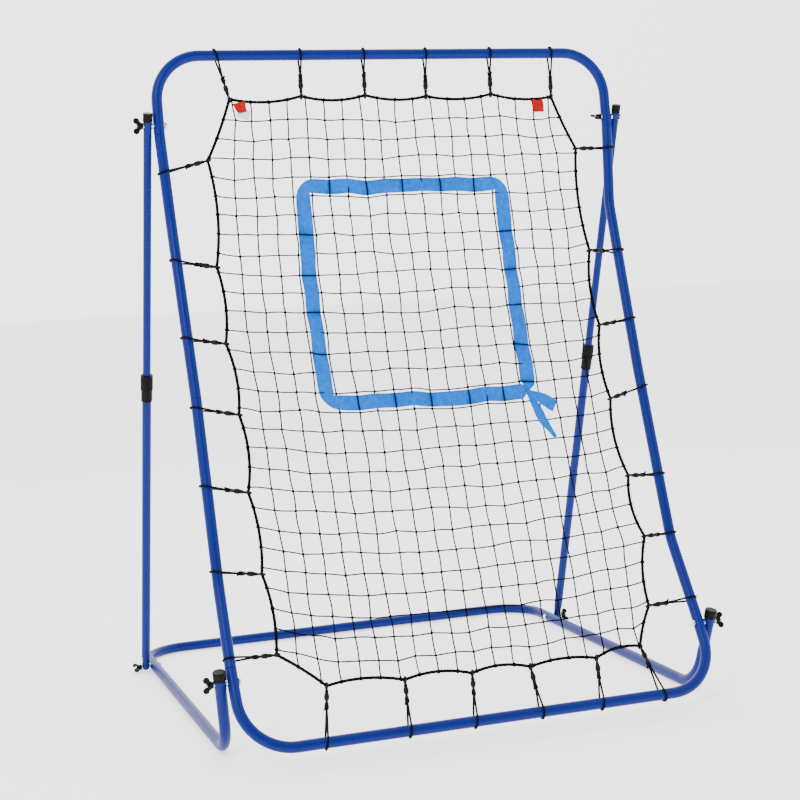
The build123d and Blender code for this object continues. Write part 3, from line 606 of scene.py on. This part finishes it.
def add_hitches(piece, ends, line):
    """Where a strand ends: two turns of twine round the rope and a short loose end."""
    for group in ends.values():
        for point in group.values():
            k = int(np.argmin(np.linalg.norm(line - point, axis=1)))
            before, after = line[k - 1], line[(k + 1) % len(line)]
            at = on_net(*point)
            along = unit(on_net(*after) - on_net(*before))
            front = net_front(point[1])
            other = np.cross(along, front)
            for shift in (-1.1, 1.1):
                lean = rng.uniform(-0.3, 0.3)
                ring = [at + along * (shift * MM + math.sin(t) * lean * ROPE_R)
                        + (front * math.cos(t) + other * math.sin(t)) * (ROPE_R + 0.5 * MM)
                        for t in circle(12)]
                piece.tube(ring, HITCH_R, 5, closed=True)
            out = unit(rng.normal(size=3))
            end = [at, at + out * (ROPE_R + 2 * MM), at + out * (ROPE_R + 4 * MM) + along * 1.5 * MM]
            piece.tube(end, 0.9 * MM, 5)


# ---------------------------------------------------------------- ties
def add_loop(elastic, centre, toward, direction, over, knot):
    """The elastic from its knot round the tube and back; knot is the knot's distance."""
    slant = math.sqrt(1 - (toward @ direction) ** 2)
    a, b = (TUBE_R + ELASTIC_R) / slant, TUBE_R + ELASTIC_R
    touch = math.acos(a / knot)
    sway = direction * rng.normal(0, 1.2 * MM)
    start, last = centre + toward * knot + over * ELASTIC_GAP, centre + toward * knot - over * ELASTIC_GAP
    first = centre + toward * a * math.cos(touch) + over * b * math.sin(touch)
    path = [start] + [start + (first - start) * t + sway * 4 * t * (1 - t) * 0.3 for t in (0.3, 0.6, 0.85)]
    for t in np.linspace(touch, 2 * math.pi - touch, 22):
        path.append(centre + toward * a * math.cos(t) + over * b * math.sin(t))
    path += [path[-1] + (last - path[-1]) * t for t in (0.2, 0.5, 0.8, 1.0)]
    elastic.tube(path, ELASTIC_R, 9)


def add_knot(elastic, at, toward, over, side):
    """Three crossed turns of elastic with its two cut ends standing out."""
    for k in range(3):
        tilt = rng.uniform(0.5, 1.1) * (-1) ** k
        u = unit(over * math.cos(tilt) + toward * math.sin(tilt))
        ring = [at + toward * (k - 1) * 2.6 * MM + (u * math.cos(t) + side * math.sin(t)) * 3.1 * MM
                for t in circle(12)]
        elastic.tube(ring, ELASTIC_R * 1.05, 7, closed=True)
    elastic.blob(at, [over * 3.4 * MM, side * 3.4 * MM, toward * 4.6 * MM])
    for sign in (-1, 1):
        out = unit(over * sign + side * rng.uniform(-0.8, 0.8))
        reach = rng.uniform(7, 11) * MM
        end = [at - toward * 1.5 * MM + out * 2 * MM,
               at - toward * rng.uniform(2, 4) * MM + out * reach * 0.6,
               at - toward * rng.uniform(3, 8) * MM + out * reach * 0.9]
        elastic.tube(smooth_path(end, 2 * MM), ELASTIC_R * 0.95, 8)


def add_hook(hook, hold, toward, over, side):
    """A wire hook: an oval eye for the elastic, a thick twisted body and a bill round the rope."""
    turn = rng.uniform(-0.5, 0.5)
    wide = over * math.cos(turn) + side * math.sin(turn)
    deep = np.cross(toward, wide)
    eye = hold - toward * (HOOK_LENGTH - 8 * MM)
    ring = [eye + toward * math.cos(t) * 7.5 * MM + wide * math.sin(t) * 5.2 * MM for t in circle(20)]
    hook.tube(ring, HOOK_WIRE_R, 8, closed=True)
    start, end = eye + toward * 5.5 * MM, hold - toward * 6.4 * MM
    for phase in (0, math.pi):
        wire = []
        for t in np.linspace(0, 1, 26):
            spin = phase + t * 2 * math.pi * HOOK_TURNS
            swell = 1.3 * MM + 2.6 * MM * (1 - t) ** 1.3
            wire.append(start + (end - start) * t + (wide * math.cos(spin) + deep * math.sin(spin)) * swell)
        hook.tube(wire, HOOK_WIRE_R, 8)
    across, along, thick = HOOK_BODY
    hook.blob(start + toward * 5 * MM, [wide * across, toward * along, deep * thick], 8, 12)
    bill = [end - toward * 1.0 * MM]
    for t in np.linspace(math.pi, math.pi + BILL_ARC, 20):
        flare = 1.0 + 0.16 * max(0.0, (t - math.pi - 4.2))
        bill.append(hold + (toward * math.cos(t) + over * math.sin(t)) * BILL_R * flare)
    hook.tube(bill, HOOK_WIRE_R * 1.1, 8)
    hook.blob(bill[-1], [over * 2.5 * MM, toward * 2.5 * MM, side * 2.5 * MM])


def make_tie(elastic, hook, crimp, centre, direction, hold):
    """An elastic loop snug round the tube, knotted to a hook that holds the rope."""
    reach = np.linalg.norm(hold - centre)
    toward = (hold - centre) / reach
    over = unit(np.cross(toward, direction))
    side = np.cross(toward, over)
    knot = reach - HOOK_LENGTH - 5 * MM
    at = centre + toward * (knot + 1.5 * MM)
    add_loop(elastic, centre, toward, direction, over, knot)
    add_knot(elastic, at, toward, over, side)
    lace_at = hold - toward * (HOOK_LENGTH - 2 * MM)
    lace = [lace_at + toward * math.cos(t) * 5.0 * MM + side * math.sin(t) * 2.6 * MM
            + over * math.sin(2 * t) * 0.8 * MM for t in circle(18)]
    elastic.tube(lace, ELASTIC_R * 0.9, 7, closed=True)
    add_hook(hook, hold, toward, over, side)
    crimp.tube([at - toward * d * MM for d in (5.5, 3, 1)], CRIMP_R, 12)


# ---------------------------------------------------------------- ribbon and tags
def ribbon_run(grid, vertical, lane, first, last, phase):
    """Points in (x, run, forward, half width) along a lane of cells, over and under each twine."""
    cells = grid if vertical else grid.transpose(1, 0, 2)
    out = []
    step = 1 if last > first else -1
    for n, k in enumerate(range(first, last + step, step)):
        for half in (0, 1):
            if half and k == last:
                break
            nxt = k + step * half
            x, run = (cells[lane, k] + cells[lane + 1, k] + cells[lane, nxt] + cells[lane + 1, nxt]) / 4
            forward = 0.0 if half else WEAVE * (1 if (n + phase) % 2 else -1)
            out.append((x, run, forward, RIBBON_HALF * rng.uniform(0.95, 1.0)))
    return out


def cell_middle(grid, column, row):
    """The middle of a cell of the net in (x, run)."""
    return grid[column:column + 2, row:row + 2].reshape(4, 2).mean(0)


def ribbon_corner(cell, before, after):
    """Points for the ribbon's turn in a cell, between the points before and after it."""
    before, after = np.array(before[:2]), np.array(after[:2])
    near = 0.34        # how far the turn reaches towards its neighbours
    fold = cell + (before + after - 2 * cell) * 0.09
    return [(*(cell * (1 - near) + before * near), 3.0 * MM, RIBBON_HALF * 0.92),
            (*fold, 4.6 * MM, RIBBON_HALF * 0.74),
            (*(cell * (1 - near) + after * near), 3.0 * MM, RIBBON_HALF * 0.92)]


def make_ribbon(grid, material):
    """One flat ribbon round the zone, folded over at its corners and tied at the lower right."""
    lanes = [
        ribbon_run(grid, True, RIGHT_COLUMN, BOTTOM_ROW + 1, TOP_ROW - 1, 0),
        ribbon_run(grid, False, TOP_ROW, RIGHT_COLUMN - 1, LEFT_COLUMN + 2, 0),
        ribbon_run(grid, True, LEFT_COLUMN, TOP_ROW - 1, BOTTOM_ROW + 2, 1),
        ribbon_run(grid, False, BOTTOM_ROW, LEFT_COLUMN + 2, RIGHT_COLUMN, 0),
    ]
    corners = [None, (RIGHT_COLUMN, TOP_ROW), (LEFT_COLUMN, TOP_ROW), (LEFT_COLUMN, BOTTOM_ROW)]
    knot = cell_middle(grid, RIGHT_COLUMN, BOTTOM_ROW) - np.array([8 * MM, 0])
    pinched = (*knot, 3.5 * MM, 4 * MM)
    first = np.array(lanes[0][0][:2])
    points = [pinched, (*(knot * 0.35 + first * 0.65), 2.5 * MM, 13 * MM)]
    for lane, corner in zip(lanes, corners):
        if corner is not None:
            points += ribbon_corner(cell_middle(grid, *corner), points[-1], lane[0])
        points += lane
    last = np.array(points[-1][:2])
    points += [(*(knot * 0.45 + last * 0.55), 2.5 * MM, RIBBON_HALF * 0.78), pinched]

    piece = Builder()
    ribbon_strip(piece, points)
    for tail in (SHORT_TAIL, LONG_TAIL):
        ribbon_strip(piece, [(knot[0] + x * MM, knot[1] + run * MM, forward * MM, half * MM)
                             for x, run, forward, half in tail])
    add_ribbon_knot(piece, knot)
    return piece.make("ribbon", material)


def add_ribbon_knot(piece, knot):
    """The pulled-tight knot: a small ball with two turns round it."""
    at = on_net(*knot, 6 * MM)
    up, front = net_up(knot[1]), net_front(knot[1])
    piece.blob(at, [SIDEWAYS * 5 * MM, front * 4 * MM, up * 5 * MM], 8, 14)
    for tilt in (-0.5, 0.45):
        v = unit(up * math.cos(tilt) - SIDEWAYS * math.sin(tilt))
        ring = [at + (v * math.cos(t) * 5.0 + front * math.sin(t) * 4.0) * MM for t in circle(16)]
        piece.tube(ring, 2.2 * MM, 8, closed=True)


def ribbon_strip(piece, points):
    """A strip through points of (x, run, forward, half width), flat to the net with a slight curl."""
    fine = smooth_path(points, 6 * MM)
    centres = np.array([on_net(x, run, forward) for x, run, forward, _ in fine])
    along = np.gradient(centres, axis=0)
    along /= np.linalg.norm(along, axis=1)[:, None]
    fronts = np.array([net_front(p[1]) for p in fine])
    acrosses = np.cross(along, fronts)
    acrosses /= np.linalg.norm(acrosses, axis=1)[:, None]
    waves = np.cumsum(rng.normal(0, 0.02, len(fine)))
    waves -= np.linspace(0, waves[-1], len(fine))
    curl = 0.125 * np.sin(waves * 3 + np.arange(len(fine)) * 0.11)[:, None]
    rolled = acrosses * np.cos(curl) + fronts * np.sin(curl)
    rolled /= np.linalg.norm(rolled, axis=1)[:, None]
    normals = np.cross(rolled, along)
    normals /= np.linalg.norm(normals, axis=1)[:, None]
    crown = 0.9 * MM * np.sin(np.arange(len(fine)) * 0.23) + 0.3 * MM
    piece.strip(centres, rolled, normals, fine[:, 3], RIBBON_THICK, 8, crown)


def make_tag(name, material, centre, size, turn, crumple, fold):
    """A small cloth tag sewn to the rope by its top edge: crumpled, one corner turned up."""
    x0, run0, forward = centre
    middle, up, front = on_net(x0, run0, forward), net_up(run0), net_front(run0)
    waves = [(rng.uniform(-1, 1, 2) * 3.2, rng.uniform(0, 6.3), rng.uniform(0.4, 1.0)) for _ in range(5)]
    points = []
    for layer in (TAG_HALF_THICK, -TAG_HALF_THICK):
        for a in range(TAG_CELLS + 1):
            for b in range(TAG_CELLS + 1):
                u, v = a / TAG_CELLS - 0.5, b / TAG_CELLS - 0.5
                lift = crumple * sum(high * math.sin(2.205 * (way[0] * u + way[1] * v) + phase)
                                     for way, phase, high in waves)
                lift += fold * max(0.0, -(u + v)) ** 2
                x, y = u * size[0], v * size[1]
                across = x * math.cos(turn) - y * math.sin(turn) + 0.5 * lift
                along = x * math.sin(turn) + y * math.cos(turn)
                points.append(middle + SIDEWAYS * across + up * along + front * (lift + layer))
    ring = TAG_CELLS + 1
    back = ring * ring
    faces = []
    for a in range(TAG_CELLS):
        for b in range(TAG_CELLS):
            i = a * ring + b
            faces.append((i, i + ring, i + ring + 1, i + 1))
            faces.append((back + i, back + i + 1, back + i + ring + 1, back + i + ring))
    edge = [a * ring for a in range(TAG_CELLS)] + [TAG_CELLS * ring + b for b in range(TAG_CELLS)]
    edge += [a * ring + TAG_CELLS for a in range(TAG_CELLS, 0, -1)] + list(range(TAG_CELLS, 0, -1))
    for i, j in zip(edge, edge[1:] + edge[:1]):
        faces.append((back + i, back + j, j, i))
    piece = Builder()
    piece.add(points, faces)
    return piece.make(name, material)


# ---------------------------------------------------------------- build
materials = {
    "blue_paint": blue_paint(),
    "black_plastic": black_plastic(),
    "plated_steel": plated_steel(),
    "net_cord": black_cord("black_net_twine", 0.0008, 0.004, 260.0),
    "rope": black_cord("black_fuzzy_rope", 0.0008, 0.0045, 180.0, 0.95),
    "elastic": black_cord("black_elastic", 0.001, 0.005, 420.0, 0.7),
    "hook_metal": hook_coat(),
    "ribbon": azure_ribbon(),
    "red_cloth": tag_cloth("red_tag_cloth", (0.36, 0.0, 0.0005), (0.48, 0.0005, 0.001)),
    "white_cloth": tag_cloth("white_tag_film", (0.72, 0.72, 0.72), (0.86, 0.86, 0.86), 0.6),
}
for entry in frame["record"]["subparts"]:
    mesh = frame["nodes"][entry["node"]].data
    mesh.materials.clear()
    mesh.materials.append(materials[entry["material_slot"]])

line = border()
ends = strand_ends(line)
grid = relax(ends)
net = make_net(grid, materials["net_cord"])
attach(net, "front_frame")
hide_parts("net_panel")

rope_piece, rope_path, rope_tangents = make_rope(line)
add_fuzz(rope_piece, rope_path, rope_tangents)
add_hitches(rope_piece, ends, line)
rope = rope_piece.make("border_rope", materials["rope"])
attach(rope, "front_frame")
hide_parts("net_border_rope")

for group in GROUPS:
    elastic, hook, crimp = Builder(), Builder(), Builder()
    for centre, direction, hold in tie_places(group):
        make_tie(elastic, hook, crimp, centre, direction, hold)
    loops = elastic.make("elastic_ties_" + group, materials["elastic"])
    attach(loops, "front_frame")
    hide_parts("elastic_loops_" + group)
    hooks = hook.make("net_hooks_" + group, materials["hook_metal"])
    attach(hooks, "front_frame")
    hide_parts("tie_hooks_" + group)
    crimps = crimp.make("elastic_crimps_" + group, materials["plated_steel"])
    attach(crimps, "front_frame")

ribbon = make_ribbon(grid, materials["ribbon"])
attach(ribbon, "front_frame")
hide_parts("strike_zone_ribbon")

# name, node, slot, middle as (x, run, forward), size, turn, depth of the crumple, fold of the corner
TAGS = [
    ("red_tag_upper_left", "red_tag_left", "red_cloth",
     (-0.3695, 1.3000, 6 * MM), (32 * MM, 25 * MM), 0.22, 2.2 * MM, 12 * MM),
    ("white_tag_upper_left", "white_tag_left", "white_cloth",
     (-0.3600, 1.2860, 2.5 * MM), (28 * MM, 24 * MM), -0.35, 1.0 * MM, 0.0),
    ("red_tag_upper_right", "red_tag_right", "red_cloth",
     (0.375, 1.2935, 3 * MM), (28 * MM, 33 * MM), 0.08, 1.0 * MM, 4 * MM),
]
for name, node, material_slot, centre, size, turn, crumple, fold in TAGS:
    piece = make_tag(name, materials[material_slot], centre, size, turn, crumple, fold)
    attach(piece, "front_frame")
    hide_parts(node)


# ---------------------------------------------------------------- floor, light and camera
def pale_floor():
    """A matt, nearly white floor with a little glow of its own, so that it meets the backdrop."""
    material, tree, shader = new_material("pale_floor")
    shader.inputs["Roughness"].default_value = 0.9
    tree.links.new(ramp(tree, noise(tree, 0.6), [(0.3, (0.93, 0.93, 0.93)), (0.7, (0.95, 0.95, 0.95))]),
                   shader.inputs["Base Color"])
    shader.inputs["Emission Color"].default_value = (1.0, 1.0, 1.0, 1)
    shader.inputs["Emission Strength"].default_value = 0.9
    return material


bpy.ops.mesh.primitive_plane_add(size=60, location=(0, 0, 0))
floor = bpy.context.object
floor.name = "floor"
floor.data.materials.append(pale_floor())

# the backdrop is bright behind the object and dim in front of it, so that the paint keeps its colour
world = bpy.data.worlds.new("white_studio")
world.use_nodes = True
tree = world.node_tree
background = tree.nodes["Background"]
sky = tree.nodes.new("ShaderNodeTexCoord")
split = tree.nodes.new("ShaderNodeSeparateXYZ")
tree.links.new(sky.outputs["Generated"], split.inputs["Vector"])
background.inputs["Color"].default_value = (1.0, 1.0, 1.0, 1)
product = add_node(tree, "ShaderNodeMath", operation="MULTIPLY")
tree.links.new(number_range(tree, split.outputs["Y"], 0.06, 1.0, -1.0), product.inputs[0])
tree.links.new(number_range(tree, split.outputs["Z"], 3.3, 4.0), product.inputs[1])
tree.links.new(product.outputs["Value"], background.inputs["Strength"])
bpy.context.scene.world = world


LIGHT_AIM = Vector((0, -0.2, 0.7))


def area_light(name, at, size, power):
    """A soft rectangular light that points at the middle of the object."""
    data = bpy.data.lights.new(name, "AREA")
    data.shape = "RECTANGLE"
    data.size, data.size_y = size
    data.energy = power
    light = bpy.data.objects.new(name, data)
    light.location = at
    light.rotation_euler = (LIGHT_AIM - Vector(at)).to_track_quat("-Z", "Y").to_euler()
    bpy.context.scene.collection.objects.link(light)


area_light("key", (-2.6, -3.2, 3.6), (0.7, 0.7), 105)
area_light("fill", (3.0, -2.6, 2.4), (1.2, 1.2), 30)
area_light("rear", (0.5, 3.0, 3.2), (2.4, 1.2), 40)

forward = Vector((math.sin(CAMERA_YAW), math.cos(CAMERA_YAW), 0)) * math.cos(CAMERA_PITCH)
forward.z = math.sin(CAMERA_PITCH)
level = Vector((math.cos(CAMERA_YAW), -math.sin(CAMERA_YAW), 0))
above = level.cross(forward)
right = level * math.cos(CAMERA_ROLL) + above * math.sin(CAMERA_ROLL)
above = above * math.cos(CAMERA_ROLL) - level * math.sin(CAMERA_ROLL)
camera_data = bpy.data.cameras.new("camera")
camera_data.lens = CAMERA_LENS
camera_data.sensor_width = 36
camera = bpy.data.objects.new("camera", camera_data)
camera.matrix_world = Matrix((
    (right.x, above.x, -forward.x, CAMERA_AT[0]),
    (right.y, above.y, -forward.y, CAMERA_AT[1]),
    (right.z, above.z, -forward.z, CAMERA_AT[2]),
    (0, 0, 0, 1)))
bpy.context.scene.collection.objects.link(camera)
bpy.context.scene.camera = camera
